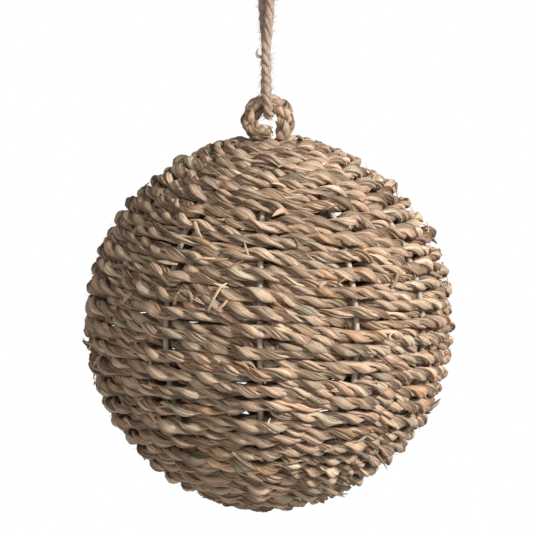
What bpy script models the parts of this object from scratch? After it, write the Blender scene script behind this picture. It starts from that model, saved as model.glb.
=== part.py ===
"""Hanging decorative ball: seagrass rope woven on a wire frame, with a rope ring and a jute hanger.

Metres, +Z up, +Y away from the front. The origin is the top of the hanger knot, where the ball hangs.
"""

import math

import bmesh
import bpy
from mathutils import Matrix, Vector

PART_NAME = "hanging_woven_ball"

# Ball and its wire frame
BALL_DIAMETER = 0.150
RIB_COUNT = 11
RIB_DIAMETER = 0.0023
FRONT_RIB_AZIMUTH = math.radians(-92.8)
RIB_SEGMENTS = 12
POLE_RING_SIDES = 4
WIRE_CLEARANCE = 0.0008

# Woven rope: an oblong section, rows side by side down the ball
ROPE_THICKNESS = 0.0049
ROW_PITCH = 0.0035
ROW_GAP = 0.00045
ROW_LEAN = 0.007
POLE_HOLE_RADIUS = 0.0016
CAP_RADIUS = 0.020
COARSE_RADIUS = 0.046
DISH_DEPTH = 0.0022
DISH_EDGE_WIDTH = 0.0020

# Rope ring on top
RING_WIDTH = 0.0209
RING_HEIGHT = 0.0163
RING_ROPE_DIAMETER = 0.0066
RING_SEAT_GAP = 0.0003
RING_STEPS = 28

# Jute hanger
CORD_DIAMETER = 0.0037
CORD_CLEARANCE = 0.0005
CORD_LEG_LENGTH = 0.0451
CORD_LEG_GAP = 0.0003
CORD_STEP = 0.0040
KNOT_WIDTH = 0.0110
KNOT_DEPTH = 0.0098
KNOT_HEIGHT = 0.0090
KNOT_GAP = 0.0003

# Values that follow from the sizes above
BALL_RADIUS = BALL_DIAMETER / 2
RIB_RADIUS = RIB_DIAMETER / 2
ROPE_OFFSET = RIB_RADIUS + WIRE_CLEARANCE + ROPE_THICKNESS / 2
FRAME_RADIUS = BALL_RADIUS - ROPE_OFFSET - ROPE_THICKNESS / 2
ROPE_HEIGHT = ROW_PITCH - ROW_GAP
LEAN_PEAK = 32 / 27
STATIONS_PER_TURN = 2 * RIB_COUNT
STATION_ANGLE = 2 * math.pi / STATIONS_PER_TURN
RING_ROPE_RADIUS = RING_ROPE_DIAMETER / 2
CORD_RADIUS = CORD_DIAMETER / 2

# The ring's centre line: shares of its half width and of its height, and the rope's thickness there
RING_HALF_WIDTH = RING_WIDTH / 2 - RING_ROPE_RADIUS
CROWN_THICKNESS = 0.88
CROWN_RADIUS = RING_ROPE_RADIUS * CROWN_THICKNESS
CROWN_HEIGHT = RING_HEIGHT - CROWN_RADIUS
RING_SHAPE = (
    (0.80, (RING_SEAT_GAP - DISH_DEPTH) / CROWN_HEIGHT, 1.0),
    (0.84, 0.02, 1.0),
    (0.95, 0.25, 1.0),
    (0.99, 0.54, 1.0),
    (0.73, 0.84, 0.95),
    (0.22, 0.99, CROWN_THICKNESS),
    (-0.36, 0.99, CROWN_THICKNESS),
    (-0.82, 0.82, 0.95),
    (-1.00, 0.56, 1.0),
    (-0.98, 0.31, 1.0),
    (-0.70, 0.14, 1.0),
    (-0.30, 0.13, 1.0),
    (0.12, 0.15, 1.0),
)
RING_LEG_X = RING_SHAPE[0][0] * RING_HALF_WIDTH
LEG_REACH = RING_LEG_X + RING_ROPE_RADIUS

# Heights, measured down from the hanging point
KNOT_BOTTOM_Z = -KNOT_HEIGHT
CROWN_Z = KNOT_BOTTOM_Z - CORD_LEG_LENGTH
BALL_TOP_Z = CROWN_Z - CROWN_HEIGHT
BALL_CENTRE = Vector((0.0, 0.0, BALL_TOP_Z - BALL_RADIUS))

# The poles: the rope's first turns lie sunk in a dish, and the rope ring sits in it
RIM_TURN_RADIUS = (LEG_REACH + WIRE_CLEARANCE + ROPE_HEIGHT / 2) / math.cos(STATION_ANGLE)
POLE_RING_RADIUS = RIM_TURN_RADIUS + RIB_DIAMETER
INNER_TURN_RADIUS = POLE_HOLE_RADIUS + ROPE_HEIGHT / 2


def clear_scene():
    """Remove every object that is in the file."""
    for existing in list(bpy.data.objects):
        bpy.data.objects.remove(existing, do_unlink=True)


def make_collection(name):
    """Make a collection in the scene."""
    collection = bpy.data.collections.new(name)
    bpy.context.scene.collection.children.link(collection)
    return collection


def make_material(name, colour, roughness, metallic=0.0):
    """Make a plain Principled material."""
    material = bpy.data.materials.new(name)
    material.use_nodes = True
    shader = material.node_tree.nodes["Principled BSDF"]
    shader.inputs["Base Color"].default_value = (*colour, 1.0)
    shader.inputs["Roughness"].default_value = roughness
    shader.inputs["Metallic"].default_value = metallic
    return material


def add_object(name, data, collection, material):
    """Put mesh or curve data in the scene as a named object with its material."""
    data.materials.append(material)
    piece = bpy.data.objects.new(name, data)
    collection.objects.link(piece)
    return piece


def sphere_direction(polar, azimuth):
    """Unit vector from the ball's centre, polar angle from the top."""
    return Vector((
        math.sin(polar) * math.cos(azimuth),
        math.sin(polar) * math.sin(azimuth),
        math.cos(polar),
    ))


def down_direction(polar, azimuth):
    """Unit vector along the meridian, away from the top."""
    return sphere_direction(polar + math.pi / 2, azimuth)


def smooth_route(points, steps):
    """Read evenly spaced stations from a smooth curve through the points.

    The points may have any number of values; the first three are the position.
    """
    ends = [2 * a - b for a, b in zip(points[0], points[1])], [
        2 * a - b for a, b in zip(points[-1], points[-2])
    ]
    knots = [ends[0], *points, ends[1]]
    fine_steps = 24
    dense = []
    for before, start, end, after in zip(knots, knots[1:], knots[2:], knots[3:]):
        for step in range(fine_steps):
            dense.append(catmull_rom(before, start, end, after, step / fine_steps))
    dense.append(list(points[-1]))
    travelled = [0.0]
    for first, second in zip(dense, dense[1:]):
        travelled.append(travelled[-1] + (Vector(second[:3]) - Vector(first[:3])).length)
    stations = []
    index = 0
    for step in range(steps + 1):
        target = travelled[-1] * step / steps
        while index < len(travelled) - 2 and travelled[index + 1] < target:
            index += 1
        span = travelled[index + 1] - travelled[index]
        share = (target - travelled[index]) / span
        stations.append([a + (b - a) * share for a, b in zip(dense[index], dense[index + 1])])
    return stations


def catmull_rom(before, start, end, after, share):
    """One point of the smooth curve between start and end."""
    return [
        0.5 * (
            2 * b + (c - a) * share
            + (2 * a - 5 * b + 4 * c - d) * share ** 2
            + (3 * b - a - 3 * c + d) * share ** 3
        )
        for a, b, c, d in zip(before, start, end, after)
    ]


def tube_curve(name, stations, radius, resolution):
    """A poly curve with a round bevel and closed ends; a station's fourth value scales its radius."""
    curve = bpy.data.curves.new(name, "CURVE")
    curve.dimensions = "3D"
    curve.bevel_depth = radius
    curve.bevel_resolution = resolution
    curve.use_fill_caps = True
    spline = curve.splines.new("POLY")
    spline.points.add(len(stations) - 1)
    for point, station in zip(spline.points, stations):
        point.co = (*station[:3], 1.0)
        point.radius = station[3] if len(station) > 3 else 1.0
    return curve


def mesh_from_curve(curve_object):
    """Replace a curve object by its mesh, with its caps welded on."""
    graph = bpy.context.evaluated_depsgraph_get()
    mesh = bpy.data.meshes.new_from_object(curve_object.evaluated_get(graph))
    welded = bmesh.new()
    welded.from_mesh(mesh)
    bmesh.ops.remove_doubles(welded, verts=welded.verts, dist=1e-6)
    welded.to_mesh(mesh)
    welded.free()
    piece = bpy.data.objects.new(curve_object.name, mesh)
    piece.matrix_world = curve_object.matrix_world
    curve_object.users_collection[0].objects.link(piece)
    bpy.data.objects.remove(curve_object, do_unlink=True)
    return piece


def loft_mesh(name, sections):
    """Skin a row of four-cornered sections and close both ends."""
    mesh = bpy.data.meshes.new(name)
    skin = bmesh.new()
    rings = [[skin.verts.new(corner) for corner in section] for section in sections]
    for ring, following in zip(rings, rings[1:]):
        for corner in range(len(ring)):
            beside = (corner + 1) % len(ring)
            skin.faces.new((ring[corner], ring[beside], following[beside], following[corner]))
    skin.faces.new(list(reversed(rings[0])))
    skin.faces.new(rings[-1])
    bmesh.ops.recalc_face_normals(skin, faces=skin.faces)
    skin.to_mesh(mesh)
    skin.free()
    return mesh


def rib_stations(azimuth):
    """Points of one rib, from the top wire ring to the bottom one."""
    first = math.asin(POLE_RING_RADIUS / FRAME_RADIUS)
    step = (math.pi - 2 * first) / RIB_SEGMENTS
    # Corners lie half a chord's rise outside the frame's sphere, so the straight parts straddle it
    corner_radius = FRAME_RADIUS * (1 + (1 / math.cos(step / 2) - 1) / 2)
    return [
        BALL_CENTRE + sphere_direction(first + step * index, azimuth) * corner_radius
        for index in range(RIB_SEGMENTS + 1)
    ]


def make_wire_frame(collection, cutters, material):
    """Half hoops welded to a small wire ring at each pole, as one body."""
    meshes = []
    for index in range(RIB_COUNT):
        azimuth = FRONT_RIB_AZIMUTH + 2 * math.pi * index / RIB_COUNT
        curve = tube_curve("rib", rib_stations(azimuth), RIB_RADIUS, 0)
        rib = mesh_from_curve(add_object("rib", curve, cutters, material))
        meshes.append(rib.data)
        bpy.data.objects.remove(rib, do_unlink=True)
    joined = bmesh.new()
    for mesh in meshes:
        joined.from_mesh(mesh)
    frame_mesh = bpy.data.meshes.new("wire_frame")
    joined.to_mesh(frame_mesh)
    joined.free()
    frame = add_object("wire_frame", frame_mesh, collection, material)
    pole_height = math.sqrt(FRAME_RADIUS ** 2 - POLE_RING_RADIUS ** 2)
    for side, label in ((1, "top"), (-1, "bottom")):
        bpy.ops.mesh.primitive_torus_add(
            location=BALL_CENTRE + Vector((0, 0, side * pole_height)),
            rotation=(0, 0, FRONT_RIB_AZIMUTH + STATION_ANGLE),
            major_radius=POLE_RING_RADIUS,
            minor_radius=RIB_RADIUS,
            major_segments=RIB_COUNT,
            minor_segments=POLE_RING_SIDES,
        )
        wire_ring = bpy.context.active_object
        wire_ring.name = f"{label}_wire_ring"
        move_to_collection(wire_ring, cutters)
        wire_ring.hide_render = True
        wire_ring.display_type = "WIRE"
        union = frame.modifiers.new(f"weld_{label}_ring", "BOOLEAN")
        union.operation = "UNION"
        union.solver = "EXACT"
        union.object = wire_ring
    return frame


def move_to_collection(piece, collection):
    """Keep an object in one collection only."""
    for holder in list(piece.users_collection):
        holder.objects.unlink(piece)
    collection.objects.link(piece)


def arc_at_radius(turn_radius):
    """Length along the frame's meridian, from a pole, to a turn of this radius that lies over the wire."""
    return FRAME_RADIUS * math.asin(turn_radius / (FRAME_RADIUS + ROPE_OFFSET))


def row_arc(station):
    """Length along the frame's meridian, from the top, to the rope at a station; 0 is on the dish's rim."""
    return arc_at_radius(RIM_TURN_RADIUS) + ROW_PITCH * station / STATIONS_PER_TURN


def station_range():
    """The first and the last station at a rib, next to the small hole at each pole."""
    to_top = row_arc(0) - arc_at_radius(INNER_TURN_RADIUS)
    to_bottom = math.pi * FRAME_RADIUS - arc_at_radius(INNER_TURN_RADIUS) - row_arc(0)
    ribs_per_arc = RIB_COUNT / ROW_PITCH
    return -2 * int(to_top * ribs_per_arc), 2 * int(to_bottom * ribs_per_arc)


def lean_share(polar):
    """How much of the rows' full lean shows at a polar angle: none at the poles, most above the middle."""
    return math.sin(polar) ** 2 * (1 + math.cos(polar)) / LEAN_PEAK


def lean_growth(polar):
    """Rate at which that share grows with the polar angle."""
    rise = math.sin(2 * polar) * (1 + math.cos(polar))
    return (rise - math.sin(polar) ** 3) / LEAN_PEAK


def rope_offset(station, turn_radius):
    """Distance of the rope's centre line outside the frame's sphere."""
    if station < 0:
        sunk = (RIM_TURN_RADIUS - turn_radius) / DISH_EDGE_WIDTH
        return ROPE_OFFSET - DISH_DEPTH * min(1.0, max(0.0, sunk))
    if turn_radius < CAP_RADIUS:
        return ROPE_OFFSET
    if station % 2:
        return 0.0
    return ROPE_OFFSET if station % 4 == 0 else -ROPE_OFFSET


def rope_sections():
    """Sections of the rope, each in its own meridian plane, along the whole spiral."""
    sections = []
    # Station 0 is at the rib nearest to the ring's leg, on the ball's right
    start_azimuth = FRONT_RIB_AZIMUTH + round(-FRONT_RIB_AZIMUTH / (2 * STATION_ANGLE)) * 2 * STATION_ANGLE
    first, last = station_range()
    for station in range(first, last + 1):
        level = row_arc(station) / FRAME_RADIUS
        azimuth = start_azimuth + STATION_ANGLE * station
        # The rows lie lower on the ball's right than on its left, and spread or close up to do so
        lean = ROW_LEAN / FRAME_RADIUS * math.cos(azimuth)
        polar = level + lean * lean_share(level)
        height = ROW_PITCH * (1 + lean * lean_growth(level)) - ROW_GAP
        turn_radius = (FRAME_RADIUS + ROPE_OFFSET) * math.sin(level)
        if station % 2 and turn_radius < COARSE_RADIUS:
            continue
        out = sphere_direction(polar, azimuth)
        down = down_direction(polar, azimuth)
        centre = BALL_CENTRE + out * (FRAME_RADIUS + rope_offset(station, turn_radius))
        half_out = out * ROPE_THICKNESS / 2
        half_down = down * height / 2
        sections.append([
            centre + half_out + half_down,
            centre + half_out - half_down,
            centre - half_out - half_down,
            centre - half_out + half_down,
        ])
    return sections


def make_woven_rope(collection, material):
    """One rope wound from pole to pole, over one rib and under the next."""
    return add_object("woven_rope", loft_mesh("woven_rope", rope_sections()), collection, material)


def make_rope_ring(collection, material):
    """The thicker rope ring: up from the ball, over, and curled back to a cut end."""
    route = [
        (across * RING_HALF_WIDTH, 0.0, BALL_TOP_Z + up * CROWN_HEIGHT, thickness)
        for across, up, thickness in RING_SHAPE
    ]
    curve = tube_curve("rope_ring", smooth_route(route, RING_STEPS), RING_ROPE_RADIUS, 2)
    return add_object("rope_ring", curve, collection, material)


def cord_route():
    """The cord's own points: down in front of the ring's crown, under it and up behind."""
    bend = CROWN_RADIUS + CORD_CLEARANCE + CORD_RADIUS
    leg_y = CORD_RADIUS + CORD_LEG_GAP / 2
    leg_x = -0.0008
    spread_x = 0.0015
    spread_y = math.sqrt(leg_y ** 2 - spread_x ** 2)
    top_z = KNOT_BOTTOM_Z - KNOT_GAP
    front = [
        (leg_x + spread_x, -spread_y, top_z),
        (leg_x + spread_x, -spread_y, top_z - 0.10 * CORD_LEG_LENGTH),
        (leg_x + 0.6 * spread_x, -leg_y, CROWN_Z + 0.68 * CORD_LEG_LENGTH),
        (leg_x, -leg_y, CROWN_Z + 0.45 * CORD_LEG_LENGTH),
        (leg_x + 0.0001, -leg_y - 0.4 * (bend - leg_y), CROWN_Z + 0.26 * CORD_LEG_LENGTH),
        (leg_x + 0.0004, -bend, CROWN_Z + 0.06 * CORD_LEG_LENGTH),
        (leg_x + 0.0007, -bend * math.cos(math.radians(40)), CROWN_Z - bend * math.sin(math.radians(40))),
    ]
    under = [(leg_x + 0.0008, 0.0, CROWN_Z - bend)]
    back = [(2 * leg_x - x if z > CROWN_Z else x, -y, z) for x, y, z in reversed(front)]
    return front + under + back


def make_hanger_cord(collection, material):
    """One jute cord doubled through the ring, both ends at the knot."""
    route = cord_route()
    length = sum((Vector(a) - Vector(b)).length for a, b in zip(route, route[1:]))
    steps = round(length / CORD_STEP)
    curve = tube_curve("hanger_cord", smooth_route(route, steps), CORD_RADIUS, 2)
    return add_object("hanger_cord", curve, collection, material)


def make_hanger_knot(collection, material):
    """The knot that the cord hangs by, its top at the origin."""
    bpy.ops.mesh.primitive_uv_sphere_add(segments=12, ring_count=8, radius=0.5)
    knot = bpy.context.active_object
    knot.name = "hanger_knot"
    knot.data.transform(Matrix.Diagonal((KNOT_WIDTH, KNOT_DEPTH, KNOT_HEIGHT, 1.0)))
    knot.data.materials.append(material)
    knot.data.shade_smooth()
    knot.location = (0.0, 0.0, -KNOT_HEIGHT / 2)
    move_to_collection(knot, collection)
    return knot


def main():
    """Build the whole ball."""
    clear_scene()
    collection = make_collection(PART_NAME)
    cutters = make_collection("cutters")
    seagrass = make_material("seagrass_rope", (0.42, 0.31, 0.21), 0.85)
    jute = make_material("jute_cord", (0.55, 0.42, 0.30), 0.9)
    painted_wire = make_material("painted_wire", (0.50, 0.45, 0.39), 0.55)
    make_wire_frame(collection, cutters, painted_wire)
    make_woven_rope(collection, seagrass)
    make_rope_ring(collection, seagrass)
    make_hanger_cord(collection, jute)
    make_hanger_knot(collection, jute)


main()
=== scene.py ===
"""Looks of the hanging woven ball: seagrass rope on a wire frame, a rope ring and a jute hanger.

Metres, +Z up. The origin is the top of the hanger knot, and the front faces -Y.
"""

import logging
import math
from dataclasses import dataclass
from enum import Enum
from typing import Any, Optional, Sequence, Union

import bpy
import numpy as np
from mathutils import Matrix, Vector


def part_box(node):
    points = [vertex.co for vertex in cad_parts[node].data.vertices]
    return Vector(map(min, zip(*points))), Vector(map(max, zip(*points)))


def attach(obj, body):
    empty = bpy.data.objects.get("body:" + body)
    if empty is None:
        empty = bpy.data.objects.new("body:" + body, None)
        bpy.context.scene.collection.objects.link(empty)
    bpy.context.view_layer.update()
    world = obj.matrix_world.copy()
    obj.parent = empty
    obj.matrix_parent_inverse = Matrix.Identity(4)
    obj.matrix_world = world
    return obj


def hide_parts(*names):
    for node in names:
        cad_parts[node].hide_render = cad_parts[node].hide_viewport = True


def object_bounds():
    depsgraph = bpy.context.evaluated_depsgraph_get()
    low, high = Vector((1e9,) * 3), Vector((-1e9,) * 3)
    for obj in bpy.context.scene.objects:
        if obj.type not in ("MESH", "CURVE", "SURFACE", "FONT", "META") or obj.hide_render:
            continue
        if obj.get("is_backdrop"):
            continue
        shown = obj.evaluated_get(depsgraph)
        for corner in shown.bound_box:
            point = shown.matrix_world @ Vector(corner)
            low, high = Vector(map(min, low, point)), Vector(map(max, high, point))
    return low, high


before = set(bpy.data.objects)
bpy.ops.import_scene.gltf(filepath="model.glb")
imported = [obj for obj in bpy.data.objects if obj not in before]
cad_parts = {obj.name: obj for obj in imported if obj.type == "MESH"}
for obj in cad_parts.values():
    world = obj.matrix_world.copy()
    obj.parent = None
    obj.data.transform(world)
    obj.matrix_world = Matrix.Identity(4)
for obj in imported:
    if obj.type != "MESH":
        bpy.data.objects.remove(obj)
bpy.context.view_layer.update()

BODY = "root"
LOG = logging.getLogger("woven_ball")
TURN = 2 * math.pi
CURVE_STEPS = 24
GRAIN_START = 3.0
PLY_GRAIN_START = 5.0
FIBRE_RADIUS = (0.00005, 0.00011)

Colour = tuple[float, float, float]
Scale = tuple[float, float, float]
Span = tuple[float, float]


class Hand(Enum):
    """Which way a rope's plies wind."""

    RIGHT = 1
    LEFT = -1


class Tone(Enum):
    """Colours that dried seagrass takes, as linear red, green and blue, and a near-black painted shade."""

    TAN = (0.500, 0.340, 0.222)
    BEIGE = (0.610, 0.440, 0.300)
    PINKISH = (0.560, 0.365, 0.250)
    STRAW = (0.670, 0.500, 0.345)
    OLIVE = (0.450, 0.375, 0.262)
    RUST = (0.530, 0.290, 0.145)
    BROWN = (0.300, 0.196, 0.122)
    PAINTED_SHADE = (0.070, 0.062, 0.045)


@dataclass(frozen=True)
class Signal:
    """One socket of a shader that takes part in sums and products as a number does."""

    shader: "Shader"
    socket: bpy.types.NodeSocket

    def _combine(self, operation: str, first: Any, second: Any) -> "Signal":
        """Join two sides with Math, or with Vector Math where a side is a colour or a vector.

        Args:
            operation: the name of the operation.
            first: the left side.
            second: the right side.

        Returns:
            The signal that comes out.
        """
        sides = [first, second]
        wide = any(
            isinstance(side, tuple) or (isinstance(side, Signal) and side.socket.type != "VALUE")
            for side in sides
        )
        kind = "ShaderNodeVectorMath" if wide else "ShaderNodeMath"
        if wide:
            sides = [(side,) * 3 if isinstance(side, (int, float)) else side for side in sides]
        return self.shader.node(kind, {"operation": operation}, dict(enumerate(sides)))

    def __add__(self, other: Any) -> "Signal":
        """Sum."""
        return self._combine("ADD", self, other)

    def __radd__(self, other: Any) -> "Signal":
        """Sum with this signal on the right."""
        return self._combine("ADD", other, self)

    def __sub__(self, other: Any) -> "Signal":
        """Difference."""
        return self._combine("SUBTRACT", self, other)

    def __rsub__(self, other: Any) -> "Signal":
        """Difference with this signal on the right."""
        return self._combine("SUBTRACT", other, self)

    def __mul__(self, other: Any) -> "Signal":
        """Product."""
        return self._combine("MULTIPLY", self, other)

    def __rmul__(self, other: Any) -> "Signal":
        """Product with this signal on the right."""
        return self._combine("MULTIPLY", other, self)

    def ramp(self, low: float, high: float) -> "Signal":
        """Rise smoothly from 0 at low to 1 at high."""
        return self.shader.node(
            "ShaderNodeMapRange",
            {"interpolation_type": "SMOOTHSTEP"},
            {"Value": self, "From Min": low, "From Max": high},
        )


class Shader:
    """A material's nodes, made one at a time and ending in a Principled BSDF."""

    def __init__(self, name: str) -> None:
        """Start a material with its own Principled BSDF."""
        self.material = bpy.data.materials.new(name)
        self.material.use_nodes = True
        self.tree = self.material.node_tree
        self.surface = self.tree.nodes["Principled BSDF"]

    def node(
        self,
        kind: str,
        settings: Optional[dict[str, Any]] = None,
        sockets: Optional[dict[Union[int, str], Any]] = None,
        output: Union[int, str] = 0,
    ) -> Signal:
        """Add a node.

        Args:
            kind: the node's type.
            settings: its own settings, set first.
            sockets: values or signals of its inputs.
            output: the output to hand on.

        Returns:
            The chosen output as a signal.
        """
        made = self.tree.nodes.new(kind)
        for name, value in (settings or {}).items():
            setattr(made, name, value)
        for key, value in (sockets or {}).items():
            self._feed(made.inputs[key], value)
        return Signal(self, made.outputs[output])

    def _feed(self, target: bpy.types.NodeSocket, value: Any) -> None:
        """Link a signal to a socket, or set its plain value.

        Args:
            target: the socket.
            value: the signal, number, vector or colour.
        """
        if isinstance(value, Signal):
            self.tree.links.new(value.socket, target)
        elif target.type == "RGBA" and len(value) == 3:
            target.default_value = (*value, 1.0)
        else:
            target.default_value = value

    def attribute(self, name: str, output: str) -> Signal:
        """Read one of the mesh's own attributes."""
        return self.node("ShaderNodeAttribute", {"attribute_name": name}, output=output)

    def noise(self, place: Signal, detail: float = 2.0, roughness: float = 0.55) -> Signal:
        """Smooth noise at a place that is already scaled."""
        sockets = {"Vector": place, "Scale": 1.0, "Detail": detail, "Roughness": roughness}
        return self.node("ShaderNodeTexNoise", {}, sockets, "Fac")

    def mix(self, share: Any, first: Any, second: Any) -> Signal:
        """Mix two colours."""
        return self.node("ShaderNodeMix", {"data_type": "RGBA"}, {0: share, 6: first, 7: second}, 2)

    def bump(self, height: Signal, depth: float) -> Signal:
        """Turn a height from 0 to 1 into a normal."""
        return self.node("ShaderNodeBump", {}, {"Strength": 1.0, "Distance": depth, "Height": height})

    def finish(self, **values: Any) -> bpy.types.Material:
        """Set the Principled BSDF's sockets, named with _ for a space, and hand over the material.

        Args:
            values: the sockets' values or signals.

        Returns:
            The material.
        """
        for name, value in values.items():
            self._feed(self.surface.inputs[name.replace("_", " ")], value)
        return self.material


@dataclass(frozen=True)
class SeagrassFinish:
    """Dried seagrass: each blade's own colour, with fibres along it, stains and a dull gloss."""

    name: str = "seagrass"
    fibre_width: float = 0.00055
    fibre_length: float = 0.014
    stain_size: float = 0.006
    fibre_contrast: float = 0.58
    fibre_band: Span = (0.34, 0.66)
    fibre_depth: float = 0.00060
    roughness: float = 0.60
    stain: Colour = (0.20, 0.125, 0.072)
    stain_share: float = 0.55
    stain_band: Span = (0.56, 0.80)
    crack_share: float = 0.60
    crack_band: Span = (0.29, 0.39)

    def material(self) -> bpy.types.Material:
        """Build the material from the blade and grain attributes.

        Returns:
            The material.
        """
        shader = Shader(self.name)
        grain = shader.attribute("grain", "Vector")
        blade = shader.attribute("blade", "Color")
        across = 1 / self.fibre_width
        fibre = shader.noise(grain * (1 / self.fibre_length, across, across), 2.5, 0.6)
        vein = shader.noise(grain * (0.5 / self.fibre_length, 0.45 * across, 0.45 * across), 1.0)
        mottle = shader.noise(grain * ((1 / self.stain_size,) * 3), 2.0)
        light = (1 - self.fibre_contrast / 2) + self.fibre_contrast * fibre.ramp(*self.fibre_band)
        streaked = blade * light * (0.74 + 0.52 * vein)
        stained = shader.mix(self.stain_share * mottle.ramp(*self.stain_band), streaked, self.stain)
        cracked = shader.mix(self.crack_share * (1 - fibre.ramp(*self.crack_band)), stained, self.stain)
        height = 0.65 * fibre + 0.35 * vein
        return shader.finish(
            Base_Color=cracked,
            Roughness=self.roughness + 0.22 * (fibre - 0.5),
            Specular_IOR_Level=0.35,
            Normal=shader.bump(height, self.fibre_depth),
        )


@dataclass(frozen=True)
class JuteFinish:
    """Twisted jute: pale brown yarn with fine fibres and darker flecks."""

    name: str = "jute"
    fibre_width: float = 0.00050
    fibre_length: float = 0.005
    fibre_band: Span = (0.30, 0.60)
    fibre_depth: float = 0.00032
    fleck_scale: Scale = (300.0, 900.0, 900.0)
    fleck_share: float = 0.45
    fleck_band: Span = (0.62, 0.78)
    pale: Colour = (0.500, 0.362, 0.270)
    deep: Colour = (0.36, 0.252, 0.184)
    roughness: float = 0.85

    def material(self) -> bpy.types.Material:
        """Build the material from the grain attribute.

        Returns:
            The material.
        """
        shader = Shader(self.name)
        grain = shader.attribute("grain", "Vector")
        across = 1 / self.fibre_width
        fibre = shader.noise(grain * (1 / self.fibre_length, across, across), 3.0, 0.65)
        fleck = shader.noise(grain * self.fleck_scale, 2.0)
        colour = shader.mix(fibre.ramp(*self.fibre_band), self.deep, self.pale)
        flecked = shader.mix(self.fleck_share * fleck.ramp(*self.fleck_band), colour, self.deep)
        return shader.finish(
            Base_Color=flecked,
            Roughness=self.roughness,
            Specular_IOR_Level=0.2,
            Sheen_Weight=0.15,
            Normal=shader.bump(fibre, self.fibre_depth),
        )


@dataclass(frozen=True)
class PaintedWireFinish:
    """Iron wire with thin grey-beige paint, scuffed where the rope rubs."""

    name: str = "painted_wire"
    paint: Colour = (0.54, 0.465, 0.38)
    scuff: Colour = (0.24, 0.19, 0.15)
    wear_scale: Scale = (260.0, 900.0, 900.0)
    wear_share: float = 0.7
    wear_band: Span = (0.55, 0.72)
    film_scale: Scale = (900.0, 2200.0, 2200.0)
    film_depth: float = 0.00008
    roughness: float = 0.5

    def material(self) -> bpy.types.Material:
        """Build the material from the grain attribute.

        Returns:
            The material.
        """
        shader = Shader(self.name)
        grain = shader.attribute("grain", "Vector")
        wear = shader.noise(grain * self.wear_scale, 3.0, 0.6)
        film = shader.noise(grain * self.film_scale, 2.0)
        colour = shader.mix(self.wear_share * wear.ramp(*self.wear_band), self.paint, self.scuff)
        return shader.finish(
            Base_Color=colour * (0.9 + 0.2 * film),
            Roughness=self.roughness + 0.3 * (wear - 0.5),
            Specular_IOR_Level=0.5,
            Normal=shader.bump(film, self.film_depth),
        )


@dataclass(frozen=True)
class PaperFinish:
    """Matt white paper of the studio floor."""

    name: str = "studio_paper"
    shade: Colour = (0.80, 0.80, 0.795)

    def material(self) -> bpy.types.Material:
        """Build a pale matt material with a faint tooth.

        Returns:
            The material.
        """
        shader = Shader(self.name)
        place = shader.node("ShaderNodeTexCoord", {}, {}, "Object")
        tooth = shader.noise(place * (400.0, 400.0, 400.0), 2.0)
        colour = shader.mix(0.04 * tooth, self.shade, (0.7, 0.7, 0.7))
        return shader.finish(Base_Color=colour, Roughness=0.9)


def unit(vectors: np.ndarray) -> np.ndarray:
    """Scale vectors to length 1."""
    return vectors / np.maximum(np.linalg.norm(vectors, axis=-1, keepdims=True), 1e-12)


def rising(value: np.ndarray, low: float, high: float) -> np.ndarray:
    """Rise smoothly from 0 at low to 1 at high."""
    share = np.clip((value - low) / (high - low), 0, 1)
    return share * share * (3 - 2 * share)


def way_along(points: np.ndarray) -> np.ndarray:
    """Length travelled to each point of a line."""
    steps = np.linalg.norm(np.diff(points, axis=0), axis=1)
    return np.concatenate([[0.0], np.cumsum(steps)])


class Wander:
    """Smooth random change along a length, from -1 to 1."""

    def __init__(self, rng: np.random.Generator, start: float, end: float, spacing: float) -> None:
        """Draw one value for each spacing."""
        self.start, self.spacing = start, spacing
        self.values = rng.uniform(-1, 1, int((end - start) / spacing) + 3)

    def at(self, place: np.ndarray) -> np.ndarray:
        """Read the change at places along the length.

        Args:
            place: the places.

        Returns:
            The change at each place.
        """
        steps = (place - self.start) / self.spacing
        index = np.clip(steps.astype(int), 0, len(self.values) - 2)
        share = rising(steps - index, 0, 1)
        return self.values[index] * (1 - share) + self.values[index + 1] * share

    @classmethod
    def along(cls, rng: np.random.Generator, way: np.ndarray, spacing: float) -> np.ndarray:
        """Draw the change for a whole way and read it at the way's own places."""
        return cls(rng, way[0], way[-1], spacing).at(way)


@dataclass
class Line:
    """A rope's middle line with a direction that stays on its outer side."""

    points: np.ndarray
    outward: np.ndarray

    def __post_init__(self) -> None:
        """Work out the tangent, the side direction and the length travelled."""
        self.along = unit(np.gradient(self.points, axis=0))
        straight = np.sum(self.outward * self.along, axis=1, keepdims=True) * self.along
        self.outward = unit(self.outward - straight)
        self.side = np.cross(self.along, self.outward)
        self.travelled = way_along(self.points)

    @classmethod
    def carried(cls, points: np.ndarray, outward: Sequence[float]) -> "Line":
        """Carry the outward direction along the line without turning it.

        Args:
            points: the line's points.
            outward: the direction at its start.

        Returns:
            The line.
        """
        along = unit(np.gradient(points, axis=0))
        directions = [unit(np.asarray(outward, float))]
        for tangent in along[1:]:
            straight = directions[-1] - tangent * np.dot(directions[-1], tangent)
            directions.append(unit(straight))
        return cls(points, np.array(directions))


def smooth_route(points: Sequence[Sequence[float]], spacing: float) -> np.ndarray:
    """Read evenly spaced points from a smooth curve through a route's own points.

    Args:
        points: rows whose first three values are the place.
        spacing: the distance between the points that come back.

    Returns:
        One row for each point, with as many values as the rows given.
    """
    given = np.asarray(points, float)
    knots = np.vstack([2 * given[0] - given[1], given, 2 * given[-1] - given[-2]])
    share = np.linspace(0, 1, CURVE_STEPS, endpoint=False)[:, None]
    spans = []
    for a, b, c, d in zip(knots, knots[1:], knots[2:], knots[3:]):
        curve = 2 * b + (c - a) * share + (2 * a - 5 * b + 4 * c - d) * share ** 2
        spans.append(0.5 * (curve + (3 * b - a - 3 * c + d) * share ** 3))
    dense = np.vstack([*spans, given[-1:]])
    travelled = way_along(dense[:, :3])
    places = np.linspace(0, travelled[-1], max(2, round(travelled[-1] / spacing)) + 1)
    return np.column_stack([np.interp(places, travelled, column) for column in dense.T])


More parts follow.
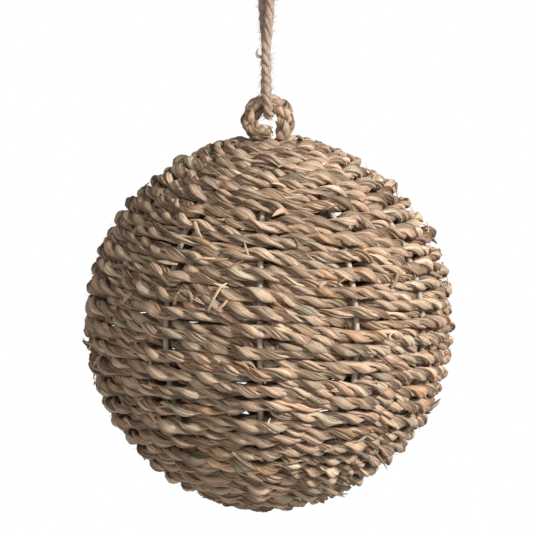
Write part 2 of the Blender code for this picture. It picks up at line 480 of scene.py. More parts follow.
@dataclass
class Strand:
    """One ply or blade: a section swept along its middle line; edge above 0 makes its sides sharp."""

    middle: np.ndarray
    outward: np.ndarray
    side: np.ndarray
    half_depth: np.ndarray
    half_width: np.ndarray
    swell: np.ndarray
    colour: np.ndarray
    travelled: np.ndarray
    edge: float = 0.0

    def cut(self, span: slice) -> "Strand":
        """The stretch of the strand between two rings."""
        rows = (
            self.middle, self.outward, self.side, self.half_depth, self.half_width,
            self.swell, self.colour, self.travelled,
        )
        return Strand(*(row[span] for row in rows), self.edge)

    def section(self) -> tuple[np.ndarray, np.ndarray]:
        """Each section point's distance outward and sideways.

        Returns:
            The distances outward, and those sideways, a row for each ring.
        """
        angle = np.linspace(0, TURN, self.swell.shape[1], endpoint=False)
        depth = np.cos(angle) * np.abs(np.cos(angle)) ** self.edge * self.half_depth[:, None] * self.swell
        width = np.sin(angle) * self.half_width[:, None] * self.swell
        return depth, width

    def surface(self) -> np.ndarray:
        """Each section point's place."""
        depth, width = self.section()
        reach = depth[..., None] * self.outward[:, None] + width[..., None] * self.side[:, None]
        return self.middle[:, None] + reach

    def grain(self) -> np.ndarray:
        """Each section point's place in the strand laid straight, for fibres that follow it.

        Returns:
            The places along, outward and sideways.
        """
        depth, width = self.section()
        along = np.broadcast_to(self.travelled[:, None], depth.shape)
        return np.stack([along, depth, width], axis=-1)


class MeshStock:
    """Gathers strands and makes one mesh object of them."""

    def __init__(self) -> None:
        """Start empty."""
        self.points: list[np.ndarray] = []
        self.grains: list[np.ndarray] = []
        self.colours: list[np.ndarray] = []
        self.keen: list[np.ndarray] = []
        self.corners: list[np.ndarray] = []
        self.sizes: list[np.ndarray] = []
        self.count = 0

    def add(self, strand: Strand, surface: Optional[np.ndarray] = None) -> None:
        """Add a strand with closed ends.

        Args:
            strand: the strand.
            surface: its section points, where they differ from the strand's own.
        """
        placed = strand.surface() if surface is None else surface
        rings, sides = placed.shape[:2]
        index = self.count + np.arange(rings * sides).reshape(rings, sides)
        beside = np.roll(index, -1, axis=1)
        quads = np.stack([index[:-1], index[1:], beside[1:], beside[:-1]], axis=-1)
        self.corners += [quads.ravel(), index[0], index[-1][::-1]]
        self.sizes += [np.full((rings - 1) * sides, 4), np.array([sides, sides])]
        self.points.append(placed.reshape(-1, 3))
        self.grains.append(strand.grain().reshape(-1, 3))
        colour = strand.colour if strand.colour.ndim == 3 else strand.colour[:, None]
        self.colours.append(np.broadcast_to(colour, placed.shape).reshape(-1, 3))
        keen = np.zeros((rings, sides), bool)
        if strand.edge > 0:
            keen[:, [0, sides // 4, 3 * sides // 4]] = True
        self.keen.append(keen.ravel())
        self.count += rings * sides

    def piece(self, name: str, material: bpy.types.Material, slot: str) -> bpy.types.Object:
        """Make the object, riding on the body.

        Args:
            name: the piece's name.
            material: its finish.
            slot: not used.

        Returns:
            The object.
        """
        mesh = bpy.data.meshes.new(name)
        corners, sizes = np.concatenate(self.corners), np.concatenate(self.sizes)
        mesh.vertices.add(self.count)
        mesh.vertices.foreach_set("co", np.concatenate(self.points).astype(np.float32).ravel())
        mesh.loops.add(len(corners))
        mesh.loops.foreach_set("vertex_index", corners.astype(np.int32))
        mesh.polygons.add(len(sizes))
        mesh.polygons.foreach_set("loop_start", (np.cumsum(sizes) - sizes).astype(np.int32))
        mesh.update(calc_edges=True)
        mesh.shade_smooth()
        self.sharpen(mesh)
        grain = mesh.attributes.new("grain", "FLOAT_VECTOR", "POINT")
        grain.data.foreach_set("vector", np.concatenate(self.grains).astype(np.float32).ravel())
        blade = mesh.attributes.new("blade", "FLOAT_COLOR", "POINT")
        colours = np.concatenate(self.colours)
        solid = np.column_stack([colours, np.ones(len(colours))])
        blade.data.foreach_set("color", solid.astype(np.float32).ravel())
        mesh.materials.append(material)
        made = bpy.data.objects.new(name, mesh)
        bpy.context.scene.collection.objects.link(made)
        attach(made, BODY)
        LOG.info("%s: %d triangles", name, int(np.sum(sizes - 2)))
        return made

    def sharpen(self, mesh: bpy.types.Mesh) -> None:
        """Mark the lines along both sides and the middle of a blade as sharp.

        Args:
            mesh: the mesh.
        """
        ends = np.empty(2 * len(mesh.edges), np.int32)
        mesh.edges.foreach_get("vertices", ends)
        keen = np.concatenate(self.keen)[ends.reshape(-1, 2)].all(axis=1)
        sharp = mesh.attributes.new("sharp_edge", "BOOLEAN", "EDGE")
        sharp.data.foreach_set("value", keen)


@dataclass
class BladeColours:
    """Colours along a ply, which change where one blade ends and the next begins; the blade sides are
    darker, partly their own browner edge and partly painted crease shade.
    """

    rng: np.random.Generator
    tones: dict[Tone, float]
    shortest: float = 0.022
    longest: float = 0.085
    change_length: float = 0.0015
    shade_spread: float = 0.20
    turn_length: float = 0.02
    seam: float = 0.35
    edge_painted_shade: float = 0.0
    edge_painted_shade_power: int = 6

    def row(self, travelled: np.ndarray) -> np.ndarray:
        """Colours at places along one blade line.

        Args:
            travelled: lengths along the ply.

        Returns:
            A colour for each place.
        """
        ends = [float(travelled[0])]
        while ends[-1] < travelled[-1]:
            ends.append(ends[-1] + self.rng.uniform(self.shortest, self.longest))
        tones, shares = list(self.tones), np.array(list(self.tones.values()))
        picks = self.rng.choice(len(tones), size=len(ends) + 1, p=shares / shares.sum())
        base = np.array([tones[p].value for p in picks])
        base *= 1 + self.rng.uniform(-self.shade_spread, self.shade_spread, (len(picks), 1))
        index = np.clip(np.searchsorted(ends, travelled, side="right") - 1, 0, len(ends) - 1)
        left = np.array(ends)[index]
        share = rising(travelled - left, 0, self.change_length)[:, None]
        before = base[np.maximum(index - 1, 0)]
        return before * (1 - share) + base[index] * share

    def around(self, travelled: np.ndarray, sides: int) -> np.ndarray:
        """Colours at places along a ply and round its section, from two blades side by side, darker at both
        blade sides, partly browner edges and partly painted crease shade.

        Args:
            travelled: lengths along the ply.
            sides: the number of section points.

        Returns:
            A colour for each place and section point.
        """
        first, second = self.row(travelled), self.row(travelled)
        turn = Wander.along(self.rng, travelled, self.turn_length) * math.pi
        angle = np.linspace(0, TURN, sides, endpoint=False)
        share = rising(np.sin(angle + turn[:, None]), -self.seam, self.seam)[..., None]
        mixed = first[:, None] * (1 - share) + second[:, None] * share
        # Darker towards the blade sides: partly the browner edges of dried blades, partly painted shade in
        # the creases between blades.
        return mixed * (1 - self.edge_painted_shade * np.abs(np.sin(angle)) ** self.edge_painted_shade_power)[:, None]


@dataclass(frozen=True)
class Twist:
    """How plies are laid into a rope; sizes of a ply are shares of the rope's radius.

    A leaf above 0 makes a ply thick where it faces out and thin where it dives in.
    """

    plies: int
    pitch: float
    radius: float
    sides: int = 9
    ply_reach: float = 0.46
    ply_depth: float = 0.54
    ply_width: float = 0.80
    crease: float = 0.07
    lumps: float = 0.10
    lump_length: float = 0.011
    slack_pitches: int = 3
    pitch_spread: float = 0.10
    ridges: float = 0.0
    stray: float = 0.0
    leaf: float = 0.0
    edge: float = 0.0
    hand: Hand = Hand.RIGHT

    def lay(
        self,
        line: Line,
        rng: np.random.Generator,
        colours: BladeColours,
        thickness: Optional[np.ndarray] = None,
    ) -> list[Strand]:
        """Twist the plies along a line.

        Args:
            line: the rope's middle line.
            rng: the source of unevenness.
            colours: the blades' colours.
            thickness: shares of the rope's radius along the line.

        Returns:
            One strand for each ply.
        """
        way = line.travelled
        radius = self.radius * (np.ones(len(way)) if thickness is None else thickness)
        slack = Wander.along(rng, way, self.slack_pitches * self.pitch)
        slack = slack * self.pitch_spread * math.pi * self.slack_pitches
        strands = []
        for ply in range(self.plies):
            turn = self.hand.value * (TURN * way / self.pitch + slack) + TURN * ply / self.plies
            facing = np.cos(turn)[:, None] * line.outward + np.sin(turn)[:, None] * line.side
            stray = 1 + self.stray * Wander.along(rng, way, 1.5 * self.lump_length)
            middle = line.points + facing * (radius * self.ply_reach * stray)[:, None]
            along = unit(np.gradient(middle, axis=0))
            side = unit(np.cross(along, facing))
            outward = np.cross(side, along)
            fat = 1 + self.lumps * Wander.along(rng, way, self.lump_length)
            fat = fat * (1 + self.leaf * (np.cos(turn) ** 2 - 0.5))
            strands.append(Strand(
                middle, outward, side,
                radius * self.ply_depth * fat,
                radius * self.ply_width * (2 - fat) ** 0.5,
                self.creases(way, rng),
                colours.around(way, self.sides),
                way + rng.uniform(0, PLY_GRAIN_START),
                self.edge,
            ))
        return strands

    def creases(self, way: np.ndarray, rng: np.random.Generator) -> np.ndarray:
        """Folds that run along a ply, as shares of its section's size.

        Args:
            way: lengths along the ply.
            rng: the source of unevenness.

        Returns:
            A share for each place and section point.
        """
        angle = np.linspace(0, TURN, self.sides, endpoint=False)
        swell = np.ones((len(way), self.sides))
        for folds, depth in ((2, 0.6), (3, 1.0), (4, 0.7)):
            drift = Wander.along(rng, way, 1.6 * self.lump_length) * math.pi
            swell += self.crease * depth * np.sin(folds * angle + drift[:, None])
        for side in range(self.sides):
            swell[:, side] += self.ridges * Wander.along(rng, way, 1.3 * self.lump_length)
        return swell


@dataclass
class PhotoView:
    """The photograph's camera, which also finds where a pixel of its frame lands on the ball."""

    centre: np.ndarray
    frame_pixels: float = 533.0
    ball_column: float = 268.3
    ball_row: float = 322.3
    metres_per_pixel: float = 0.0004005
    distance: float = 1.5
    elevation: float = math.radians(5.0)
    sensor: float = 36.0

    def __post_init__(self) -> None:
        """Work out the camera's directions and place."""
        self.forward = np.array([0.0, math.cos(self.elevation), -math.sin(self.elevation)])
        self.right = np.array([1.0, 0.0, 0.0])
        self.up = np.cross(self.right, self.forward)
        half = self.frame_pixels / 2
        shift = self.right * (half - self.ball_column) + self.up * (self.ball_row - half)
        self.target = self.centre + shift * self.metres_per_pixel
        self.place = self.target - self.forward * self.distance
        self.width = self.metres_per_pixel * self.frame_pixels

    def make(self) -> None:
        """Create the camera and make it the scene's."""
        data = bpy.data.cameras.new("photo_camera")
        data.sensor_width = self.sensor
        data.lens = self.sensor * self.distance / self.width
        data.clip_start, data.clip_end = 0.05, 20.0
        camera = bpy.data.objects.new("photo_camera", data)
        camera.location = self.place
        camera.rotation_euler = Vector(self.forward).to_track_quat("-Z", "Y").to_euler()
        bpy.context.scene.collection.objects.link(camera)
        bpy.context.scene.camera = camera

    def ray(self, column: float, row: float) -> np.ndarray:
        """The direction from the camera through a pixel.

        Args:
            column: the pixel's column.
            row: the pixel's row.

        Returns:
            The direction, of length 1.
        """
        half = self.frame_pixels / 2
        aim = self.right * (column - half) + self.up * (half - row)
        return unit(self.forward * self.distance + aim * self.metres_per_pixel)

    def on_ball(self, column: float, row: float, radius: float, far: bool = False) -> np.ndarray:
        """Find the point of the ball that shows at a pixel.

        Args:
            column: the pixel's column.
            row: the pixel's row.
            radius: the distance from the ball's centre.
            far: take the ball's far side, as seen through a gap.

        Returns:
            The point; beyond the outline, the nearest one on it.
        """
        ray = self.ray(column, row)
        from_centre = self.place - self.centre
        reach = float(np.dot(from_centre, ray))
        inside = reach ** 2 - float(np.dot(from_centre, from_centre)) + radius ** 2
        step = math.sqrt(max(inside, 0.0))
        hit = from_centre + ray * (-reach + (step if far else -step))
        return self.centre + unit(hit) * radius

    def on_plane(self, column: float, row: float, depth: float) -> np.ndarray:
        """Find the point at this distance along +Y that shows at a pixel."""
        ray = self.ray(column, row)
        return self.place + ray * (depth - self.place[1]) / ray[1]


@dataclass(frozen=True)
class Gap:
    """A place where rows stand apart, at a pixel of the photograph's frame; below 0 they close up."""

    column: float
    row: float
    opening: float
    width: float = 0.010
    through: bool = False


@dataclass(frozen=True)
class Parting:
    """Two rows that part, in polar angles: the line between them and where the gap comes to stand."""

    azimuth: float
    between: float
    shift: float
    opening: float
    width: float


@dataclass(frozen=True)
class LooseBlade:
    """A blade that has come away from the rope, along pixels of the photograph's frame; at the ring, a
    near-black one is a painted shade mark rather than a blade.

    Its rise is how far its tip stands above its root on the ball, or how far it lies in front of the
    ring's plane at the ring.
    """

    path: tuple[Span, ...]
    width: float
    tone: Tone
    rise: float = 0.0012


@dataclass
class WovenCover:
    """One two-ply seagrass rope wound round the wire frame, over one rib and under the next."""

    centre: np.ndarray
    view: PhotoView
    ball_radius: float = 0.075
    rib_count: int = 11
    rib_radius: float = 0.00115
    front_rib_azimuth: float = math.radians(-92.8)
    frame_radius: float = 0.06815
    solid_rope_offset: float = 0.0044
    row_pitch: float = 0.0035
    row_lean: float = 0.007
    rope_radius: float = 0.00300
    ply_radius: float = 0.00172
    depth_kept: float = 0.94
    twist_pitch: float = 0.0202
    blade_pitch: float = 0.046
    rim_radius: float = 0.01182
    inner_radius: float = 0.003125
    dish_depth: float = 0.0022
    dish_edge: float = 0.0020
    cap_radius: float = 0.020
    full_weave_radius: float = 0.038
    height_at_rib: float = 1.04
    height_between: float = 0.82
    rise_between: float = 0.0022
    crest: float = 0.86
    row_wander: float = 0.0006
    sway_stations: float = 1.1
    drift_stations: float = 3.7
    drift_share: float = 0.5
    depth_wander: float = 0.0005
    bulge_stations: float = 1.3
    bulge_bias: float = 0.6
    thickness_mean: float = 0.97
    thickness_spread: float = 0.09
    thickness_length: float = 0.03
    samples_per_station: int = 14
    spacing: float = 0.0015
    common_colour: float = 0.6
    bands: tuple[str, ...] = ("rope_top", "rope_upper", "rope_middle", "rope_lower", "rope_bottom")
    gaps: tuple[Gap, ...] = (
        Gap(264, 153, 0.0010, 0.008),
        Gap(262, 194, 0.0010, 0.008),
        Gap(261, 222, 0.0014),
        Gap(260, 267, 0.0010, 0.007),
        Gap(260, 286, 0.0014),
        Gap(260, 304, 0.0008, 0.006),
        Gap(260, 341, 0.0020),
        Gap(260, 361, 0.0008, 0.006),
        Gap(261, 409, 0.0016),
        Gap(168, 329, 0.0001, 0.004),
        Gap(168, 350, 0.0010),
        Gap(352, 263, -0.0003, 0.006),
        Gap(356, 289, 0.0001, 0.004),
        Gap(358, 325, 0.0013),
        Gap(355, 379, 0.0012),
        Gap(346, 247, -0.0005, 0.006),
        Gap(403, 243, -0.0006, 0.006),
        Gap(412, 258, -0.0006, 0.006),
        Gap(419, 292, -0.0006, 0.006),
        Gap(198, 213, 0.0011, 0.0025, True),
        Gap(329, 216, 0.0019, 0.0045, True),
        Gap(354, 229.5, 0.0014, 0.0040, True),
        Gap(177, 275, 0.0016, 0.0030, True),
        Gap(187, 411, 0.0010, 0.0025, True),
        Gap(323, 409, 0.0011, 0.0025, True),
    )
    longest_shift: float = 0.0006
    gap_edge_rows: float = 0.35
    gap_reach_rows: float = 2.4
    far_gap_scale: float = 1.3
    seed: int = 11

    def __post_init__(self) -> None:
        """Work out the stations and draw the rope's unevenness."""
        self.stations_per_turn = 2 * self.rib_count
        self.station_angle = TURN / self.stations_per_turn
        ribs_off = round(-self.front_rib_azimuth / (2 * self.station_angle))
        self.start_azimuth = self.front_rib_azimuth + ribs_off * 2 * self.station_angle
        to_top = self.level_arc(0) - self.arc_at(self.inner_radius)
        to_bottom = math.pi * self.frame_radius - self.arc_at(self.inner_radius) - self.level_arc(0)
        ribs_per_arc = self.rib_count / self.row_pitch
        self.first = -2 * int(to_top * ribs_per_arc)
        self.last = 2 * int(to_bottom * ribs_per_arc)
        self.rng = np.random.default_rng(self.seed)
        self.sway = Wander(self.rng, self.first, self.last, self.sway_stations)
        self.drift = Wander(self.rng, self.first, self.last, self.drift_stations)
        self.bulge = Wander(self.rng, self.first, self.last, self.bulge_stations)
        self.lift = self.rib_radius + self.rope_radius
        self.partings = [self.parting(gap, False) for gap in self.gaps]
        self.partings += [self.parting(gap, True) for gap in self.gaps if gap.through]

    def arc_at(self, turn_radius: float) -> float:
        """Length along a meridian, from a pole, to a turn of this radius."""
        return self.frame_radius * math.asin(turn_radius / (self.frame_radius + self.solid_rope_offset))

    def level_arc(self, station: Any) -> Any:
        """Length along a meridian, from the top, to the rope at a station."""
        return self.arc_at(self.rim_radius) + self.row_pitch * station / self.stations_per_turn

    def direction(self, polar: np.ndarray, azimuth: np.ndarray) -> np.ndarray:
        """Unit vectors from the centre, the polar angle counted from the top."""
        flat = np.sin(polar)
        return np.stack([flat * np.cos(azimuth), flat * np.sin(azimuth), np.cos(polar)], axis=-1)

    def wound_polar(self, station: np.ndarray) -> np.ndarray:
        """Polar angle of the rope at its stations, before its rows part round the gaps.

        Args:
            station: places along the rope, two to a rib.

        Returns:
            The angle at each station.
        """
        level = self.level_arc(station) / self.frame_radius
        lean = self.row_lean / self.frame_radius * np.cos(self.start_azimuth + self.station_angle * station)
        # 27 / 32 brings the share's peak to 1.
        lean_share = np.sin(level) ** 2 * (1 + np.cos(level)) * 27 / 32
        stray = self.row_wander * (self.sway.at(station) + self.drift_share * self.drift.at(station))
        return level + lean * lean_share + self.woven_share(level) * stray / self.frame_radius

    def woven_share(self, level: np.ndarray) -> np.ndarray:
        """How far the rope is woven round the ribs, from 0 near a pole to 1."""
        turn_radius = (self.frame_radius + self.solid_rope_offset) * np.sin(level)
        return rising(turn_radius, self.cap_radius, self.full_weave_radius)

    def parting(self, gap: Gap, far: bool) -> Parting:
        """Find the rows that part at a gap.

        Args:
            gap: the gap; at a rib, the rows that pass over the rib part.
            far: take the ball's far side, as seen through the gap.

        Returns:
            The parting.
        """
        spot = self.view.on_ball(gap.column, gap.row, self.frame_radius, far) - self.centre
        polar, azimuth = math.acos(spot[2] / self.frame_radius), math.atan2(spot[1], spot[0])
        turn = self.stations_per_turn
        in_turn = (azimuth - self.start_azimuth) / self.station_angle % turn
        stations = np.arange(in_turn + self.first - self.first % turn, self.last, turn)
        stations = stations[stations >= self.first]
        if not gap.through:
            stations = stations[np.cos(math.pi * stations / 2) > 0]
        rows = self.wound_polar(stations)
        middles = (rows[1:] + rows[:-1]) / 2
        between = float(middles[np.argmin(np.abs(middles - polar))])
        limit = (self.row_pitch if gap.through else self.longest_shift) / self.frame_radius
        shift = min(max(polar - between, -limit), limit)
        size = self.far_gap_scale if far else 1.0
        return Parting(azimuth, between, shift, gap.opening * size, gap.width * size ** 2)

    def gap_push(self, polar: np.ndarray, azimuth: np.ndarray) -> np.ndarray:
        """How far the rows part round the gaps, as a change of the polar angle.

        Args:
            polar: polar angles of the rope.
            azimuth: its azimuths there.

        Returns:
            The change of each angle.
        """
        push = np.zeros_like(polar)
        for parting in self.partings:
            down = (polar - parting.between) * self.frame_radius
            turn = (azimuth - parting.azimuth + math.pi) % TURN - math.pi
            across = turn * self.frame_radius * math.sin(parting.between)
            reach = self.gap_reach_rows * self.row_pitch
            fade = np.exp(-(across / parting.width) ** 2 - np.abs(down) / reach)
            edge = self.gap_edge_rows * self.row_pitch
            apart = np.tanh(down / edge) * parting.opening / self.frame_radius
            push += fade * (apart + parting.shift)
        return push

    def course(self, station: np.ndarray) -> tuple[np.ndarray, np.ndarray, np.ndarray]:
        """The rope's middle, outward direction and squeeze.

        Args:
            station: places along the rope, two to a rib.

        Returns:
            Points, unit vectors and the share of its height that the rope keeps.
        """
        level = self.level_arc(station) / self.frame_radius
        azimuth = self.start_azimuth + self.station_angle * station
        turn_radius = (self.frame_radius + self.solid_rope_offset) * np.sin(level)
        woven = self.woven_share(level)
        polar = self.wound_polar(station)
        polar = polar + self.gap_push(polar, azimuth)
        swing = np.cos(math.pi * station / 2)
        sunk = np.clip((self.rim_radius - turn_radius) / self.dish_edge, 0, 1) * (station < 0)
        swing = swing * (1 - self.crest + self.crest * swing ** 4)
        offset = self.lift * (woven * swing + 1 - woven) - self.dish_depth * sunk
        offset = offset + woven * self.rise_between * (1 - swing ** 2)
        offset = offset + woven * self.depth_wander * (self.bulge.at(station) - self.bulge_bias)
        outward = self.direction(polar, azimuth)
        points = self.centre + outward * (self.frame_radius + offset)[:, None]
        squeeze = self.height_between + (self.height_at_rib - self.height_between) * woven * np.abs(swing)
        return points, outward, squeeze

    def build(self, material: bpy.types.Material) -> list[bpy.types.Object]:
        """Make the rope in bands, each a piece that stands for the woven solid.

        Args:
            material: the rope's finish.

        Returns:
            The pieces.
        """
        dense = np.linspace(self.first, self.last, (self.last - self.first) * self.samples_per_station + 1)
        travelled = way_along(self.course(dense)[0])
        places = np.arange(0, travelled[-1], self.spacing)
        points, outward, squeeze = self.course(np.interp(places, travelled, dense))
        line = Line(points, outward)
        tones = {
            Tone.TAN: 0.32, Tone.BEIGE: 0.24, Tone.PINKISH: 0.17, Tone.STRAW: 0.06,
            Tone.OLIVE: 0.11, Tone.RUST: 0.04, Tone.BROWN: 0.06,
        }
        twist = Twist(
            2, self.twist_pitch, self.rope_radius, ply_reach=0.43, lumps=0.26, lump_length=0.010,
            pitch_spread=0.17, stray=0.22, leaf=0.58,
        )
        blades = Twist(
            2, self.blade_pitch, self.ply_radius, sides=8, ply_reach=0.40, ply_depth=0.58, ply_width=0.98,
            crease=0.06, lumps=0.22, lump_length=0.007, pitch_spread=0.6, ridges=0.17, stray=0.3, edge=0.4,
            hand=Hand.LEFT,
        )
        # edge_painted_shade darkens the blade sides: partly browner edges, partly painted crease shade.
        colours = BladeColours(self.rng, tones, shade_spread=0.26, edge_painted_shade=0.72)
        uneven = Wander(self.rng, 0, travelled[-1], self.thickness_length).at(line.travelled)
        thickness = self.thickness_mean + self.thickness_spread * uneven
        strands = []
        for ply in twist.lay(line, self.rng, colours, thickness):
            fat = thickness * ply.half_depth / ply.half_depth.mean()
            pair = blades.lay(Line(ply.middle, ply.outward), self.rng, colours, fat)
            common = sum(blade.colour for blade in pair) / len(pair)
            for blade in pair:
                blade.colour = self.common_colour * common + (1 - self.common_colour) * blade.colour
            strands += pair
        LOG.info("woven rope: %.2f m long", travelled[-1])
        made = []
        edges = np.linspace(0, len(places) - 1, len(self.bands) + 1).astype(int)
        for name, start, end in zip(self.bands, edges, edges[1:]):
            stock = MeshStock()
            span = slice(start, end + 1)
            side, facing = line.side[span][:, None], line.outward[span][:, None]
            for strand in strands:
                cut = strand.cut(span)
                surface = cut.surface()
                from_middle = surface - points[span][:, None]
                height = np.sum(from_middle * side, axis=-1) * (squeeze[span][:, None] - 1)
                depth = np.sum(from_middle * facing, axis=-1) * (self.depth_kept - 1)
                stock.add(cut, surface + (height[..., None] * side + depth[..., None] * facing))
            piece = stock.piece(name, material, "seagrass_rope")
            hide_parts("woven_rope")
            made.append(piece)
        return made


@dataclass
class WireFrame:
    """Round painted ribs from a wire ring at the top to one at the bottom."""

    cover: WovenCover
    ring_radius: float = 0.01412
    steps: int = 56
    ring_steps: int = 45
    sides: int = 8
    seed: int = 5

    def wire(self, polar: np.ndarray, azimuth: np.ndarray, rng: np.random.Generator) -> Strand:
        """A round wire through these directions from the ball's centre.

        Args:
            polar: polar angles.
            azimuth: azimuths.
            rng: the source of the grain's start.

        Returns:
            The wire.
        """
        outward = self.cover.direction(polar, azimuth)
        line = Line(self.cover.centre + outward * self.cover.frame_radius, outward)
        return rod(line, np.full(len(outward), self.cover.rib_radius), self.sides, (1.0, 1.0, 1.0), rng)

    def build(self, material: bpy.types.Material) -> bpy.types.Object:
        """Make the frame as one piece.

        Args:
            material: the wire's finish.

        Returns:
            The piece.
        """
        rng = np.random.default_rng(self.seed)
        stock = MeshStock()
        first = math.asin(self.ring_radius / self.cover.frame_radius)
        polar = np.linspace(first, math.pi - first, self.steps)
        for rib in range(self.cover.rib_count):
            azimuth = self.cover.front_rib_azimuth + TURN * rib / self.cover.rib_count
            stock.add(self.wire(polar, np.full_like(polar, azimuth), rng))
        turn = np.linspace(0, TURN, self.ring_steps)
        for level in (first, math.pi - first):
            stock.add(self.wire(np.full_like(turn, level), turn, rng))
        piece = stock.piece("wire_ribs", material, "painted_wire")
        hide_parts("wire_frame")
        return piece


@dataclass
class RopeRing:
    """The thicker rope ring on top: up from the ball, over, and curled back to a cut end."""

    top_z: float
    view: PhotoView
    width: float = 0.0209
    height: float = 0.0163
    rope_diameter: float = 0.0066
    crown_thickness: float = 0.88
    seat: float = -0.0019
    foot: float = 0.80
    cable_pitch: float = 0.0180
    strand_pitch: float = 0.0078
    spacing: float = 0.0006
    tip_spacing: float = 0.0004
    seed: int = 23
    # Blade tips in front of the ring; the near-black ones are painted shade, dark marks set where the
    # ring's gaps lie in shade.
    tips_and_painted_shade: tuple[LooseBlade, ...] = (
        LooseBlade(((283.5, 106.0), (285.5, 103.5), (286.8, 101.5)), 0.0017, Tone.PAINTED_SHADE, 0.0026),
        LooseBlade(((289.5, 113.0), (291.5, 115.0), (292.8, 117.5)), 0.0012, Tone.PAINTED_SHADE, 0.0026),
        LooseBlade(((291.0, 124.5), (293.0, 122.5), (295.2, 122.0)), 0.0012, Tone.BROWN, 0.0026),
        LooseBlade(((268.0, 134.0), (270.5, 131.0), (272.5, 132.0)), 0.0014, Tone.PAINTED_SHADE, 0.0026),
        LooseBlade(((275.5, 121.0), (277.0, 124.5), (278.0, 130.0)), 0.0009, Tone.PAINTED_SHADE, 0.0034),
        LooseBlade(((247.5, 109.0), (249.2, 110.5), (250.0, 112.5)), 0.0009, Tone.PAINTED_SHADE, 0.0034),
        LooseBlade(((250.5, 104.5), (252.0, 105.8), (253.0, 107.5)), 0.0007, Tone.PAINTED_SHADE, 0.0035),
        LooseBlade(((260.0, 105.0), (260.6, 108.0), (259.6, 110.5)), 0.0010, Tone.PAINTED_SHADE, 0.0036),
        LooseBlade(((247.8, 125.0), (249.5, 124.2), (251.0, 124.8)), 0.0007, Tone.PAINTED_SHADE, 0.0034),
    )
    shape: tuple[tuple[float, float, float], ...] = (
        (0.84, 0.02, 1.0),
        (0.95, 0.25, 1.0),
        (0.99, 0.54, 1.0),
        (0.73, 0.82, 1.08),
        (0.22, 0.96, 0.95),
        (-0.34, 0.95, 1.04),
        (-0.80, 0.77, 1.16),
        (-1.00, 0.53, 1.02),
        (-0.98, 0.28, 1.0),
        (-0.72, 0.10, 1.0),
        (-0.32, 0.07, 0.96),
        (0.12, 0.08, 0.92),
    )

    def build(self, material: bpy.types.Material) -> bpy.types.Object:
        """Make the ring as one piece.

        Args:
            material: the rope's finish.

        Returns:
            The piece.
        """
        rng = np.random.default_rng(self.seed)
        radius = self.rope_diameter / 2
        half_width = self.width / 2 - radius
        crown = self.height - radius * self.crown_thickness
        route = [(self.foot * half_width, 0.0, self.top_z + self.seat, 1.0)]
        route += [(x * half_width, 0.0, self.top_z + z * crown, share) for x, z, share in self.shape]
        stations = smooth_route(route, self.spacing)
        line = Line.carried(stations[:, :3], (0.0, -1.0, 0.0))
        tones = {Tone.TAN: 0.36, Tone.BEIGE: 0.24, Tone.BROWN: 0.23, Tone.OLIVE: 0.06, Tone.PINKISH: 0.11}
        # edge_painted_shade darkens the blade sides: partly browner edges, partly painted crease shade.
        colours = BladeColours(rng, tones, 0.004, 0.012, edge_painted_shade=0.45)
        cable = Twist(3, self.cable_pitch, radius, ply_reach=0.44, lumps=0.10, stray=0.12, hand=Hand.LEFT)
        strand_twist = Twist(
            2, self.strand_pitch, radius * 0.60, sides=12, ply_reach=0.46, ply_depth=0.56, ply_width=0.84,
            crease=0.10, lumps=0.28, lump_length=0.003, pitch_spread=0.3, ridges=0.12, stray=0.2, edge=0.3,
        )
        stock = MeshStock()
        for strand in cable.lay(line, rng, colours, stations[:, 3]):
            for ply in strand_twist.lay(Line(strand.middle, strand.outward), rng, colours, stations[:, 3]):
                stock.add(ply)
        facing = np.array([0.0, -1.0, 0.0])
        # Near-black tips are painted shade marks; the brown ones are cut blade ends.
        for tip in self.tips_and_painted_shade:
            spots = [self.view.on_plane(*spot, -tip.rise) for spot in tip.path]
            path = smooth_route(spots, self.tip_spacing)
            stock.add(pointed_blade(path, facing, tip.width, np.array(tip.tone.value), rng))
        piece = stock.piece("rope_ring_twist", material, "seagrass_rope")
        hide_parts("rope_ring")
        return piece


